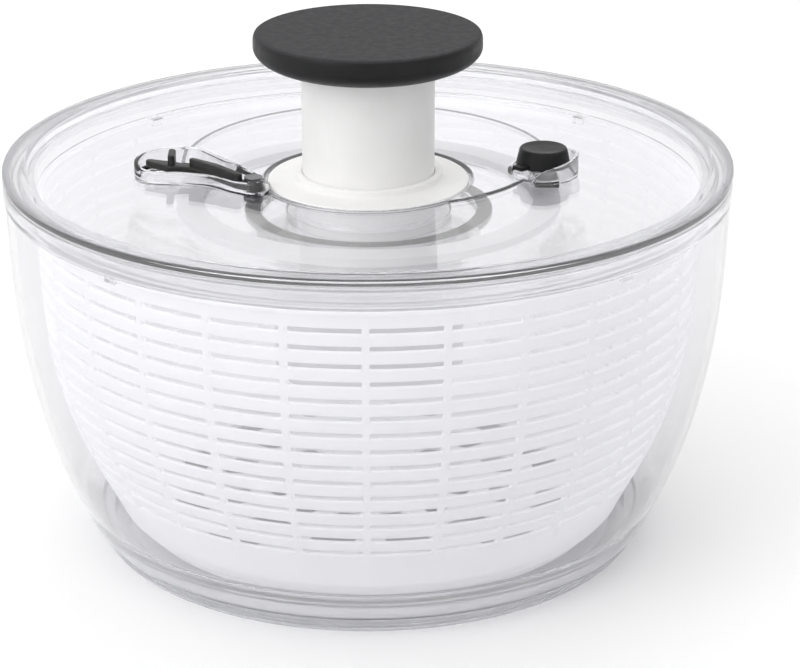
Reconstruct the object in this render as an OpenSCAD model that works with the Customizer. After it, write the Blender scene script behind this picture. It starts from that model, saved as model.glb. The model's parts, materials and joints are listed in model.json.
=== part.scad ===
// Salad spinner: clear bowl, slotted basket, and a lid with a push-knob drive, a brake and a lock lever.
// Millimetres, Z up, floor at z = 0, everything spins about the Z axis. Front is -Y, lever on -X, brake on +X.

/* [Bowl] */
// Outside diameter of the bowl rim and the lid
rim_d = 267; // [265:1:270]
// Height of the joint between bowl and lid
rim_z = 140.3; // [140:0.1:140.6]
// Diameter of the bowl where it stands on the floor
base_d = 204; // [202:1:206]
// Bowl wall thickness
bowl_wall = 2.8; // [2.4:0.1:3]
// Height of the non-slip foot ring
foot_h = 7; // [6.5:0.1:7.5]

/* [Basket] */
// Largest outside diameter of the basket
basket_d = 243.8; // [242:0.2:244.4]
// Basket wall thickness
basket_wall = 2; // [1.8:0.1:2.2]
// Number of upright bars around the basket
bar_count = 28; // [24:2:30]
// Number of slot rows
slot_rows = 15; // [8:1:15]
// Height of one slot
slot_h = 2.1; // [1.6:0.1:2.6]
// Height from one slot row to the next
slot_pitch = 6.3; // [6:0.1:6.3]

/* [Lid] */
// Height of the lid's top edge above the joint
lid_rise = 3.3; // [3.1:0.1:3.5]
// Width of the flat band around the lid
lid_band = 9; // [8:0.5:10]
// Thickness of the clear lid sheet
lid_sheet = 2.4; // [2.2:0.1:2.5]
// Diameter of the white collar flange
collar_d = 74.2; // [73.6:0.2:74.6]

/* [Plunger] */
// Diameter of the knob
knob_d = 83.4; // [80:0.2:86]
// Height of the knob's top face above the floor
knob_z = 190; // [189:0.5:192]
// Outside diameter of the plunger tube
tube_d = 48.7; // [48.7:0.1:48.7]
// Push travel of the knob
travel = 38; // [30:1:38]
// Rise of the drive screw's spiral in one turn
screw_lead = 30; // [28:1:36]

/* [Brake and lever] */
// Push travel of the brake button
brake_travel = 3; // [2:0.5:3]
// Swing of the lock lever in degrees
lever_swing = 6.5; // [6.5:0.1:6.5]

/* [Hidden] */
$fn = 96;
eps = 0.01;
rim_r = rim_d / 2;
base_r = base_d / 2;
fit = 0.1; // running clearance on the radius
joint_gap = 0.05; // gap between fitted pieces that don't move on each other

// bowl
bowl_curve_h = 160;
bowl_flare = rim_r - base_r - 0.4;
bowl_floor_z = 5;
bowl_under_z = 2.2;
foot_band = 2.2;
band_z = 133.5;
pivot_r = 3;
pivot_z = 16;

// basket
basket_r = basket_d / 2;
basket_foot_z = 8;
basket_rim_z = 129;
basket_curve_h = 120;
slot_top_z = 121.5;
bar_w = 2.5;
hub_top_z = 18.5;
lug_count = 4;
lug_w = 6;

// lid
lid_top_z = rim_z + lid_rise;
hub_z = 134; // lid surface beside the collar
hub_r = 38.2;
dish_r = rim_r - lid_band;
dish_rise = lid_top_z - 3.8 - hub_z;
lid_hole_r = 34.2;
skirt_r = 129.8;
skirt_z = 131.5;
ring_r = 40; // low ring around the collar
pad_step = 0.8; // the pad that carries lever and brake stands this far above the sheet
pad_c = [0, 18.7]; // its rear edge is an arc about this point
pad_r = 69.8;
edge_c = [8, 25]; // and its front right edge an arc about this one
edge_r = 57;
cup_wall = 1.6;
trough_floor = 134.2;
trough_z = 142;
// height of the trough's top edge over its own middle line
trough_mid_z = 139.9;

// brake, on the track radius
brake_c = [65.6, 6.2];
brake_a = atan2(brake_c[1], brake_c[0]);
brake_cup_r = 13.1;
tongue_a = 222; // direction of the button's tongue and of its notch in the cup
notch_z = 135;
button_z = 144.2;
stem_r = 3.9;
track_in = 61;
track_out = 71;
track_z = 126;

// plunger and guide
tube_r = tube_d / 2;
tube_wall = 2;
tube_in = tube_r - tube_wall;
tube_low = 113.5;
tube_top = knob_z - 12;
core_r = 36;
core_top = knob_z - 3.4;
guide_r = tube_r + fit;
sleeve_in = 24.9;
sleeve_out = 26.3;
land_z = 127; // the sleeve guides the tube above this height
collar_r = collar_d / 2;
collar_low = 133;
collar_top = 134.6;
lip_r = 27.2;
lip_z = 138;
key_w = 2.8;
key_in = tube_r - 0.8;
key_angles = [60, 120];

// lever
lever_p = [-41.8, -13.8]; // pivot
shaft_r = 2.5;
paw_low = 128.9;
paw_high = 131;
tooth_a = 155;
catch_a = 157; // where the tooth meets the tube
catch_h = 4;

// drive
cup_r = 35.5;
cup_floor = 60;
screw_r = 7;
shank_r = 5;
screw_low = 66;
screw_high = 127;
seat_z = 129;
track_disc_z = 119.8;

function bowl_out(z) = base_r + bowl_flare * pow(1 - pow(1 - z / bowl_curve_h, 3.1), 0.97);
function basket_out(z) =
    basket_r - 27.1 + 27.1 * pow(1 - pow(1 - min(basket_curve_h, z - basket_foot_z) / basket_curve_h, 3.4), 1.55);
function lid_surface(r) = hub_z + dish_rise * pow(max(0, r - hub_r) / (dish_r - hub_r), 2);
function polar(r, a) = [r * cos(a), r * sin(a)];
function span(from, to, n) = [for (i = [0 : n]) from + (to - from) * i / n];
function flip(v) = [for (i = [len(v) - 1 : -1 : 0]) v[i]];

// ---- helpers ----

function wrap(a) = a - 360 * round(a / 360);

// points of an outline that goes round circle (c, r) from angle a through sweep; a turn the other way is one mitred point
function corner(c, r, a, sweep) =
    sweep > 0 ? [for (t = span(0, sweep, ceil(sweep / 15))) c + polar(r, a + t)]
              : [c + polar(r / cos(sweep / 2), a + sweep / 2)];

// outline of a row of circles joined by their tangent sides
function chain(c, r) =
    let (n = len(c) - 1,
        dir = [for (i = [0 : n - 1]) atan2(c[i + 1][1] - c[i][1], c[i + 1][0] - c[i][0])],
        t = [for (i = [0 : n - 1]) acos((r[i] - r[i + 1]) / norm(c[i + 1] - c[i]))])
    concat(
        corner(c[0], r[0], dir[0] + t[0], 360 - 2 * t[0]),
        [for (i = 1; i < n; i = i + 1)
            each corner(c[i], r[i], dir[i - 1] - t[i - 1], wrap(dir[i] - t[i] - dir[i - 1] + t[i - 1]))],
        corner(c[n], r[n], dir[n - 1] - t[n - 1], 2 * t[n - 1]),
        [for (i = n - 1; i > 0; i = i - 1)
            each corner(c[i], r[i], dir[i] + t[i], wrap(dir[i - 1] + t[i - 1] - dir[i] - t[i]))]);

module ring(r_in, r_out, z0, z1) {
    rotate_extrude() polygon([[r_in, z0], [r_out, z0], [r_out, z1], [r_in, z1]]);
}

module sector(r_in, r_out, z0, z1, a, w) {
    rotate([0, 0, a - w / 2])
        rotate_extrude(angle = w)
            polygon([[r_in, z0], [r_out, z0], [r_out, z1], [r_in, z1]]);
}

// square wire coil: the ring sector is one coil's cut face, twisted upwards
module coil(r_mid, wire, z0, z1, turns) {
    face = 360 * wire / ((z1 - z0 - wire) / turns);
    steps = 6;
    translate([0, 0, z0])
        linear_extrude(height = z1 - z0, twist = -360 * turns, slices = 18 * turns, $fn = 6)
            polygon(concat(
                [for (a = span(0, face, steps)) polar(r_mid + wire / 2, a)],
                [for (a = span(face, 0, steps)) polar(r_mid - wire / 2, a)]));
}

// ---- bowl ----

module bowl() {
    wall_z = span(foot_h, band_z, 14);
    inner_z = span(band_z, 18, 13);
    color("White", 0.3) rotate_extrude() polygon(concat(
        [[0, bowl_under_z], [bowl_out(foot_h) - foot_band - 3.2, bowl_under_z]],
        [[bowl_out(foot_h) - foot_band, foot_h]],
        [for (z = wall_z) [bowl_out(z), z]],
        [[rim_r, band_z + 0.5], [rim_r, rim_z - 0.6], [rim_r - 0.6, rim_z], [rim_r - 3.1, rim_z]],
        [[rim_r - 3.1, band_z + 2]],
        [for (z = inner_z) [bowl_out(z) - bowl_wall, z]],
        [[103.5, 11.5], [98, 7], [92, bowl_floor_z], [14, bowl_floor_z], [7, 9], [pivot_r, 9]],
        [[pivot_r, pivot_z - 0.5], [pivot_r - 0.5, pivot_z], [0, pivot_z]]));
}

module foot_ring() {
    groove = 0.5;
    top_r = bowl_out(foot_h) - foot_band;
    color("Gainsboro") rotate_extrude() polygon(concat(
        [[94, 0.4], [94.4, 0], [base_r - 1, 0]],
        [for (i = [0 : 2], s = [0 : 3])
            let (z = 0.7 + i * 2 + [0, 1.2, 1.4, 1.8][s])
            [bowl_out(z) - (s < 2 ? 0 : groove), z]],
        [[bowl_out(foot_h) - 0.2, foot_h], [top_r, foot_h], [top_r - 3.2, bowl_under_z], [94, bowl_under_z]]));
}

// ---- basket ----

module basket() {
    out_z = span(15, 127, 14);
    in_z = span(127, 16, 14);
    bar_a = 360 * bar_w / (2 * PI * basket_r);
    step = 360 / bar_count;
    color("White", 0.7) difference() {
        rotate_extrude() polygon(concat(
            [[0, 11], [87.5, 11], [88, basket_foot_z], [90, basket_foot_z], [90.5, 11], [94, 12.2]],
            [for (z = out_z) [basket_out(z), z]],
            [[basket_r + 1.5, basket_rim_z - 1.5], [basket_r + 1.5, basket_rim_z]],
            [[basket_r - basket_wall, basket_rim_z]],
            [for (z = in_z) [basket_out(z) - basket_wall, z]],
            [[91.5, 13], [8.5, 13], [7.5, hub_top_z], [0, hub_top_z]]));
        translate([0, 0, -eps]) cylinder(r = pivot_r + fit, h = pivot_z + joint_gap + eps);
        for (row = [0 : slot_rows - 1], k = [0 : bar_count - 1])
            let (z = slot_top_z - row * slot_pitch)
            sector(basket_out(z) - basket_wall - 4, basket_r + 4, z - slot_h / 2, z + slot_h / 2,
                270 + k * step, step - bar_a);
        for (k = [0 : 11], r = [28, 46, 64])
            sector(r, r + 12, 10, 14, 15 + k * 30, 20);
        for (k = [0 : lug_count - 1])
            rotate([0, 0, 45 + k * 360 / lug_count])
                translate([basket_r - 4, -lug_w / 2, 125.5]) cube([8, lug_w, 5]);
    }
}

// ---- lid ----

module pad_plan() {
    circle(ring_r);
    intersection() {
        translate(pad_c) circle(pad_r);
        polygon([[-80, 5], [-69.8, 5], [-55.5, -3.8], [-46.8, -11.7], [-38, -16], [0, -12], [60, brake_c[1]],
            [80, brake_c[1]], [80, 100], [-80, 100]]);
    }
    intersection() {
        translate(edge_c) circle(edge_r);
        translate([0, -60]) square([80, 60 + brake_c[1] + 0.5]);
    }
}

module pad_body() {
    outer_r = 90;
    radii = concat([lid_hole_r], span(hub_r, outer_r, 8));
    intersection() {
        rotate_extrude() polygon(concat(
            [for (r = radii) [r, lid_surface(r) + pad_step]],
            [for (r = flip(radii)) [r, lid_surface(r) - 1]]));
        translate([0, 0, 120]) linear_extrude(height = 40) pad_plan();
    }
}

module trough_plan(grow) {
    polygon(chain(
        [[-75.5, 4.8], [-69.8, 5], [-55.5, -3.8], [-46.8, -11.7], [-41.6, -14.4]],
        [for (r = [9.6, 9.4, 3.7, 3.8, 4.4]) r + grow]));
}

// trough walls are lowest at the collar
module half_space(at, turn, tilt) {
    translate(at) rotate([0, 0, turn]) rotate([tilt, 0, 0]) translate([-150, -150, -60]) cube([300, 300, 60]);
}

module trough_body() {
    intersection() {
        translate([0, 0, hub_z - lid_sheet]) linear_extrude(height = 12) trough_plan(cup_wall);
        rotate_extrude() polygon([[36, 120], [36, hub_z + 1.5], [40, 138], [44, 140.5], [50, trough_z], [66, trough_z],
            [100, trough_z - 0.6], [100, 120]]);
        // the top edge is lower along the front than along the rear, first at the round end and then along the arm
        union() {
            half_space([-75.5, 4.8, trough_mid_z], 0, 7.1);
            half_space([-51, -7.8, trough_mid_z], -42.2, 20.8);
        }
    }
}

module brake_cup_body() {
    low = hub_z - 2;
    difference() {
        translate([brake_c[0], brake_c[1], low]) cylinder(r = brake_cup_r, h = 142.2 - low);
        translate([brake_c[0], brake_c[1], 139]) rotate([0, -13, 0]) translate([-30, -30, 0]) cube([60, 60, 30]);
    }
}

module lid_cover() {
    band_in = dish_r + 0.3;
    sheet_r = flip(span(hub_r, dish_r, 10));
    color("White", 0.25) difference() {
        union() {
            rotate_extrude() polygon(concat(
                [[lid_hole_r, collar_low], [hub_r, collar_low]],
                [for (r = flip(sheet_r)) [r, lid_surface(r)]],
                [[band_in, lid_top_z - 0.6], [band_in + 0.6, lid_top_z], [rim_r - 0.9, lid_top_z]],
                [[rim_r, lid_top_z - 0.9], [rim_r, rim_z + 0.3], [rim_r - 0.3, rim_z], [skirt_r, rim_z]],
                [[skirt_r, skirt_z + 0.6], [skirt_r - 0.6, skirt_z], [skirt_r - 2.2, skirt_z]],
                [[skirt_r - 2.2, lid_surface(dish_r) - lid_sheet]],
                [for (r = sheet_r) [r, lid_surface(r) - lid_sheet]],
                [[lid_hole_r, hub_z - lid_sheet]]));
            pad_body();
            trough_body();
            brake_cup_body();
        }
        // trough, brake cup and their bores
        translate([0, 0, trough_floor]) linear_extrude(height = 20) trough_plan(0);
        translate([lever_p[0], lever_p[1], 120]) cylinder(r = shaft_r + fit, h = 20);
        translate([brake_c[0], brake_c[1], trough_floor]) cylinder(r = brake_cup_r - cup_wall, h = 20);
        translate([brake_c[0], brake_c[1], 120]) cylinder(r = stem_r + fit, h = 20);
        translate([brake_c[0], brake_c[1], notch_z]) rotate([0, 0, tongue_a]) translate([9, -4, 0]) cube([8, 8, 12]);
        // room for the collar and the tube
        translate([0, 0, collar_low]) cylinder(r = hub_r, h = 30);
        translate([0, 0, 120]) cylinder(r = lid_hole_r, h = 30);
    }
}

module guide_collar() {
    color("White") rotate_extrude() polygon([
        [guide_r, collar_low], [collar_r, collar_low], [collar_r, collar_top - 0.5], [collar_r - 0.5, collar_top],
        [lip_r + 0.6, collar_top], [lip_r, collar_top + 0.6], [lip_r, lip_z - 0.6], [lip_r - 0.6, lip_z],
        [guide_r + 0.8, lip_z], [guide_r, lip_z - 0.8]]);
}

module guide_sleeve() {
    color("White", 0.6) difference() {
        union() {
            rotate_extrude() polygon([
                [sleeve_in, tube_low], [sleeve_out, tube_low], [sleeve_out, collar_low - 1.5], [33.5, collar_low - 1.5],
                [33.5, collar_low], [guide_r, collar_low], [guide_r, land_z], [sleeve_in, land_z - 0.5]]);
            for (a = key_angles)
                rotate([0, 0, a]) translate([key_in, -key_w / 2, land_z])
                    cube([sleeve_in - key_in, key_w, collar_low - land_z]);
        }
        sector(24, 27.5, paw_low - 0.7, paw_high + 0.5, catch_a - 1, 24);
    }
}

module rotor_retainer() {
    color("White") ring(sleeve_out + joint_gap, 31, tube_low + 0.3, 115.6);
}

// ---- plunger ----

module plunger_tube() {
    color("White") difference() {
        ring(tube_in, tube_r, tube_low, tube_top);
        for (a = key_angles)
            rotate([0, 0, a]) translate([key_in - 0.3, -key_w / 2 - 0.3, tube_low + 4])
                cube([4, key_w + 0.6, 174 - tube_low - 4]);
        for (z = [paw_low, paw_low + travel])
            rotate([0, 0, catch_a]) translate([20, -2.6, z - 0.8]) cube([8, 5.2, catch_h]);
    }
}

module knob_grip() {
    side_t = span(0, 90, 12);
    under = knob_z - 12.6;
    low_r = tube_r + 0.15;
    out_r = knob_d / 2;
    color("#2b2b2d") rotate_extrude() polygon(concat(
        [[0, core_top], [core_r, core_top], [core_r, knob_z - 6], [low_r, knob_z - 6], [low_r, under]],
        [for (t = side_t) [low_r + (out_r - low_r) * pow(sin(t), 0.9), knob_z - 5 - 7.6 * cos(t)]],
        [[out_r - 0.1, knob_z - 1.6], [out_r - 0.6, knob_z - 0.4], [out_r - 1.4, knob_z], [0, knob_z]]));
}

module knob_core() {
    color("White") rotate_extrude() polygon([
        [0, knob_z - 8], [8.6, knob_z - 8], [8.6, knob_z - 6], [tube_in - 2, knob_z - 6],
        [tube_in - 2, tube_top - 5], [tube_in - joint_gap, tube_top - 5], [tube_in - joint_gap, tube_top],
        [tube_r, tube_top], [tube_r, knob_z - 6], [core_r - joint_gap, knob_z - 6],
        [core_r - joint_gap, core_top], [0, core_top]]);
}

module drive_nut() {
    pin_r = 1.1;
    nut_low = tube_low - 2.9;
    color("LightGray") {
        difference() {
            rotate_extrude() polygon([
                [screw_r + 0.5, nut_low], [25.4, nut_low], [25.4, tube_low - 0.1], [tube_r, tube_low - 0.1],
                [tube_r, tube_low], [tube_in - joint_gap, tube_low], [tube_in - joint_gap, tube_low + 3.5],
                [screw_r + 0.5, tube_low + 3.5]]);
        }
        for (k = [0 : 2])
            rotate([0, 0, 120 * k]) translate([screw_r - 1.5, 0, tube_low])
                rotate([0, 90, 0]) cylinder(r = pin_r, h = 6);
    }
}

module return_spring() {
    color("Silver") coil(10.8, 1.6, seat_z, knob_z - 6, 8);
}

// ---- lock lever ----

module lock_lever() {
    low = trough_floor + 0.7;
    rise = 0.1;
    climb = [[1, 0, 0, 0], [0, 1, 0, 0], [-rise, 0, 1, rise * lever_p[0]], [0, 0, 0, 1]];
    color("#2e2e30") difference() {
        union() {
            // a flat leaf from the pivot to the tip, a tall arm on its right half, and the finger post
            translate([0, 0, low]) multmatrix(climb) {
                linear_extrude(height = 2.4)
                    polygon(chain(
                        [lever_p, [-47.6, -13.1], [-56.3, -5.2], [-64.2, -0.9], [-72.5, -0.6], [-80.2, 1.6]],
                        [3.6, 1.9, 2, 2, 3.4, 1.8]));
                linear_extrude(height = 5.2)
                    polygon(chain([[-47.6, -13.1], [-56.3, -5.2], [-64.2, -0.9]], [1.7, 1.8, 1.6]));
                linear_extrude(height = 6)
                    polygon(chain([[-72.4, -1.4], [-72.4, 5.2]], [1.3, 1.3]));
            }
        }
        translate([lever_p[0], lever_p[1], low - 1]) cylinder(r = shaft_r, h = 10);
    }
}

module lock_pawl() {
    root = polar(32, tooth_a);
    color("Silver") {
        translate([lever_p[0], lever_p[1], paw_low]) cylinder(r = shaft_r, h = 138 - paw_low);
        translate([lever_p[0], lever_p[1], 137.7]) cylinder(r = 3.4, h = 1.8);
        translate([0, 0, paw_low]) linear_extrude(height = paw_high - paw_low)
            polygon(chain([lever_p, polar(32, tooth_a), polar(27.2, tooth_a)], [3.8, 1.7, 1.7]));
    }
}

// ---- brake ----

module brake_button() {
    color("#232325") translate([brake_c[0], brake_c[1], 0]) {
        rotate_extrude() polygon([
            [8.9, 137.6], [10.1, 137.6], [10, 138.6], [8.9, 143.6], [8.4, button_z], [7.6, button_z],
            [5, button_z - 0.45], [0, button_z - 0.7], [0, 141.4], [8.2, 141.4]]);
        rotate([0, 0, tongue_a]) translate([8.6, -2.4, notch_z + 3.1]) cube([5, 4.8, 1.3]);
    }
}

module brake_stem() {
    color("White") translate([brake_c[0], brake_c[1], 131.6]) cylinder(r = stem_r, h = 141.4 - 131.6);
}

module brake_pad() {
    color("DimGray") sector(track_in + 0.5, track_out - 0.5, 129.3, 131.6, brake_a, 15);
}

module brake_spring() {
    color("Silver") translate([brake_c[0], brake_c[1], 0]) coil(5.2, 0.7, trough_floor, 141.4, 4);
}

// ---- drive ----

module drive_screw() {
    notch = 5;
    h = screw_high - screw_low;
    color("WhiteSmoke") {
        translate([0, 0, screw_low])
            linear_extrude(height = h, twist = -360 * h / screw_lead, slices = 70, $fn = 6)
                rotate(360 * (screw_low - tube_low) / screw_lead)
                    difference() {
                        circle(screw_r, $fn = 24);
                        for (k = [0 : 2])
                            rotate(120 * k) translate([screw_r - 2.2, -notch / 2]) square([4, notch]);
                    }
        translate([0, 0, screw_low - 1.4]) cylinder(r = 11, h = 1.4);
        translate([0, 0, cup_floor - 1.4]) cylinder(r = shank_r, h = screw_low - cup_floor);
        translate([0, 0, screw_high]) cylinder(r = 4, h = 1);
    }
}

module spring_seat() {
    color("LightGray") rotate_extrude() polygon([
        [4 + joint_gap, screw_high], [13, screw_high], [13, seat_z], [9, seat_z], [8.6, seat_z + 2], [0, seat_z + 2],
        [0, screw_high + 1], [4 + joint_gap, screw_high + 1]]);
}

module clutch_ratchet() {
    color("LightGray") difference() {
        union() {
            ring(shank_r + joint_gap, 12, 62.6, screw_low - 1.4);
            for (k = [0 : 5])
                rotate([0, 0, 60 * k]) translate([0, 0, 62.6]) linear_extrude(height = 2)
                    polygon([polar(11, 0), polar(14.4, 2), polar(14.4, 6), polar(11, 34)]);
        }
    }
}

module thrust_washer() {
    color("Silver") ring(shank_r + joint_gap, 8, 62, 62.6);
}

module retaining_clip() {
    color("Silver") ring(shank_r + joint_gap, 9, cup_floor - 1.2, cup_floor - 0.2);
}

// ---- rotor ----

module housing_cup() {
    wall = 1.8;
    step_z = 103.2;
    step_r = 40;
    color("White", 0.75) rotate_extrude() polygon([
        [shank_r + fit, cup_floor], [cup_r - 2, cup_floor], [cup_r, cup_floor + 2], [cup_r, step_z - wall],
        [step_r, step_z - wall], [step_r + 0.9, step_z - 0.9], [42, 115], [46, 117.8], [46, track_disc_z],
        [40, track_disc_z], [40.4, 116], [step_r - 0.9, step_z], [cup_r - wall, step_z],
        [cup_r - wall, cup_floor + 2], [shank_r + fit, cup_floor + 2]]);
}

module clutch_ring() {
    color("WhiteSmoke") {
        ring(18.5, 20.5, cup_floor + 2, 65);
        for (k = [0 : 11])
            rotate([0, 0, 30 * k]) translate([0, 0, cup_floor + 2]) linear_extrude(height = 3)
                polygon([polar(19, -12), polar(18.7, 12), polar(15.2, 12), polar(15.2, 9)]);
    }
}

module spin_disc() {
    sheet = 2.2;
    color("White", 0.35) difference() {
        union() {
            rotate_extrude() polygon([
                [sleeve_out + fit, 116], [30.5, 116], [30.5, track_disc_z], [56, track_disc_z],
                [60, 120.8], [72, 120.8], [80, 121.6], [112, 126.6], [119, 129.05], [basket_r + 1, 129.05],
                [basket_r + 1, 129.05 + sheet], [118.6, 129.05 + sheet], [111.4, 126.6 + sheet],
                [80, 121.6 + sheet], [72, 120.8 + sheet], [60, 120.8 + sheet], [55.6, track_disc_z + sheet],
                [sleeve_out + fit, track_disc_z + sheet]]);
            for (k = [0 : lug_count - 1])
                rotate([0, 0, 45 + k * 360 / lug_count]) translate([basket_r - 3, -lug_w / 2 + 0.4, 126])
                    cube([4, lug_w - 0.8, 4]);
        }
    }
}

module brake_ring() {
    color("White") ring(track_in, track_out, 123, track_z);
}

// ---- all nodes ----

bowl();
foot_ring();
basket();
lid_cover();
guide_collar();
guide_sleeve();
rotor_retainer();
plunger_tube();
knob_grip();
knob_core();
drive_nut();
return_spring();
lock_lever();
lock_pawl();
brake_button();
brake_stem();
brake_pad();
brake_spring();
drive_screw();
spring_seat();
clutch_ratchet();
thrust_washer();
retaining_clip();
housing_cup();
clutch_ring();
spin_disc();
brake_ring();
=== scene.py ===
import json
import math

import bmesh
import bpy
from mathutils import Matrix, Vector


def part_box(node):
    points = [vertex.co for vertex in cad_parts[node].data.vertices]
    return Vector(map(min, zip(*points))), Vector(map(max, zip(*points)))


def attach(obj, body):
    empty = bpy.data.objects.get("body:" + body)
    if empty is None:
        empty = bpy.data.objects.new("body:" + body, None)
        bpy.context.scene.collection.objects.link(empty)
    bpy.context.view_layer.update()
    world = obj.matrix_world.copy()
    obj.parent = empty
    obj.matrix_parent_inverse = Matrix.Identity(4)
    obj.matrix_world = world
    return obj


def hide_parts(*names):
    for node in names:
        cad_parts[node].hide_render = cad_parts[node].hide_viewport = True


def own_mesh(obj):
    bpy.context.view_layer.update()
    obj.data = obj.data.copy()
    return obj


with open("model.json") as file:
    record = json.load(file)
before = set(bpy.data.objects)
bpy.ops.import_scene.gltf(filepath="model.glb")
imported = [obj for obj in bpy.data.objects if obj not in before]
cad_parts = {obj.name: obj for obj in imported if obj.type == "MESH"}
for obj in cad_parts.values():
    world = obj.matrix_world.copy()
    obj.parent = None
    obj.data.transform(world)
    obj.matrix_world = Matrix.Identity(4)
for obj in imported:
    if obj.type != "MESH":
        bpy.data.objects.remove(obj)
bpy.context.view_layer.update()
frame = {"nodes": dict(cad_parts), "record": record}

MM = 0.001
SEGMENTS = 256
SHARP_DEG = 34

scene = bpy.context.scene


def low(node):
    """Lowest corner of a CAD node's box, in millimetres."""
    return [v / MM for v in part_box(node)[0]]


def high(node):
    """Highest corner of a CAD node's box, in millimetres."""
    return [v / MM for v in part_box(node)[1]]


# ---- sizes in millimetres, all from the frame's boxes ----

RIM_R = high("bowl")[0]
RIM_Z = high("bowl")[2]
BASE_R = RIM_R - 31.5
BAND_Z = RIM_Z - 6.8
FOOT_Z = high("foot_ring")[2]
BASKET_R = high("basket")[0] - 1.5
BASKET_FOOT_Z = low("basket")[2]
BASKET_TOP_Z = high("basket")[2]
LID_TOP_Z = RIM_Z + 3.3
COLLAR_Z = low("guide_collar")[2]
HUB_Z = COLLAR_Z + 1
DISH_R = RIM_R - 9
TUBE_R = high("plunger_tube")[0]
KNOB_Z = high("knob_grip")[2]
KNOB_R = high("knob_grip")[0]
CUP = [(low("brake_button")[i] + high("brake_button")[i]) / 2 for i in (0, 1)]
BUTTON_Z = high("brake_button")[2]


# ---- small maths ----

def mix(a, b, t):
    """From a at t = 0 to b at t = 1."""
    return a + (b - a) * t


def step(a, b, x):
    """Smooth rise from 0 at a to 1 at b."""
    t = min(1, max(0, (x - a) / (b - a)))
    return t * t * (3 - 2 * t)


def span(a, b, n):
    """n equal steps from a to b, both ends included."""
    return [a + (b - a) * i / n for i in range(n + 1)]


def through(table, x):
    """Piecewise straight line through (x, y) pairs."""
    for (x0, y0), (x1, y1) in zip(table, table[1:]):
        if x <= x1:
            return mix(y0, y1, min(1, max(0, (x - x0) / (x1 - x0))))
    return table[-1][1]


def polar(r, deg, centre=(0, 0)):
    """A point at a distance and direction from a centre."""
    a = math.radians(deg)
    return (centre[0] + r * math.cos(a), centre[1] + r * math.sin(a))


def joint(name):
    """A joint's entry in the record."""
    return next(j for j in frame["record"]["behaviour"]["joints"] if j["name"] == name)


def rounded(points, steps=4):
    """Closed outline with rounded corners. A point's third number is how far from it the round starts."""
    out = []
    for i, p in enumerate(points):
        if len(p) < 3 or p[2] <= 0:
            out.append((p[0], p[1]))
            continue
        here = Vector(p[:2])
        ends = []
        for other in (points[i - 1], points[(i + 1) % len(points)]):
            side = Vector(other[:2]) - here
            ends.append(here + side * min(p[2] / side.length, 0.49))
        for k in range(steps + 1):
            t = k / steps
            q = ends[0] * (1 - t) ** 2 + here * 2 * t * (1 - t) + ends[1] * t * t
            out.append((q.x, q.y))
    return out


# ---- mesh building ----

def smoothed(mesh, sharp):
    """Smooth shading, with edges kept sharp past an angle in degrees."""
    mesh.shade_smooth()
    mesh.set_sharp_from_angle(angle=math.radians(sharp))
    return mesh


def finish_mesh(name, verts, faces, sharp=SHARP_DEG):
    """A mesh from points in millimetres: shared points joined, normals outward, edges sharp by angle."""
    mesh = bpy.data.meshes.new(name)
    mesh.from_pydata([(x * MM, y * MM, z * MM) for x, y, z in verts], [], faces)
    bm = bmesh.new()
    bm.from_mesh(mesh)
    bmesh.ops.remove_doubles(bm, verts=bm.verts, dist=2e-6)
    bmesh.ops.recalc_face_normals(bm, faces=bm.faces)
    bm.to_mesh(mesh)
    bm.free()
    return smoothed(mesh, sharp)


def lathe_data(profile, segments=SEGMENTS, centre=(0, 0)):
    """Points and faces of a closed (r, z) outline turned about a vertical line."""
    n = len(profile)
    on_axis = [r < 1e-6 for r, _ in profile]
    verts, faces = [], []
    for j in range(segments):
        verts += [(*polar(r, 360 * j / segments, centre), z) for r, z in profile]
    for j in range(segments):
        k = (j + 1) % segments
        for i in range(n):
            m = (i + 1) % n
            if on_axis[i] and on_axis[m]:
                continue
            ring = [j * n + i, j * n + m, k * n + m, k * n + i]
            if on_axis[i]:
                ring = ring[:3]
            elif on_axis[m]:
                ring = [ring[0], ring[1], ring[3]]
            faces.append(ring)
    return verts, faces


def pin_data(radius, z0, z1, centre=(0, 0)):
    """Points and faces of an upright cylinder."""
    return lathe_data([(0, z0), (radius, z0), (radius, z1), (0, z1)], 48, centre)


def loft_data(rings):
    """Points and faces of a solid through rings of equal length, closed at both ends."""
    n = len(rings[0])
    verts = [p for ring in rings for p in ring]
    faces = [list(range(n)), [(len(rings) - 1) * n + i for i in range(n)]]
    for k in range(len(rings) - 1):
        for i in range(n):
            m = (i + 1) % n
            faces.append([k * n + i, k * n + m, (k + 1) * n + m, (k + 1) * n + i])
    return verts, faces


def solid(name, data):
    """A new object in the scene from points and faces in millimetres."""
    obj = bpy.data.objects.new(name, finish_mesh(name, *data))
    scene.collection.objects.link(obj)
    return obj


def combine(base, tools, sharp=SHARP_DEG):
    """Applies a row of booleans, each (operation, solid), to base, and removes the tools."""
    for operation, tool in tools:
        m = base.modifiers.new(operation, "BOOLEAN")
        m.operation, m.object, m.solver = operation, tool, "MANIFOLD"
    deps = bpy.context.evaluated_depsgraph_get()
    mesh = bpy.data.meshes.new_from_object(base.evaluated_get(deps))
    base.modifiers.clear()
    base.data = smoothed(mesh, sharp)
    for _, tool in tools:
        bpy.data.objects.remove(tool)


def place(obj, body, slot, material, *nodes):
    """Gives a piece its body and material, and hides the CAD nodes it stands for. The slot is not used."""
    obj.data.materials.clear()
    obj.data.materials.append(material)
    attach(obj, body)
    if nodes:
        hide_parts(*nodes)
    return obj


def paint(obj, face, material):
    """Gives one face of a piece its own material."""
    materials = obj.data.materials
    if material.name not in materials:
        materials.append(material)
    face.material_index = materials.find(material.name)


# ---- materials ----

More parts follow.
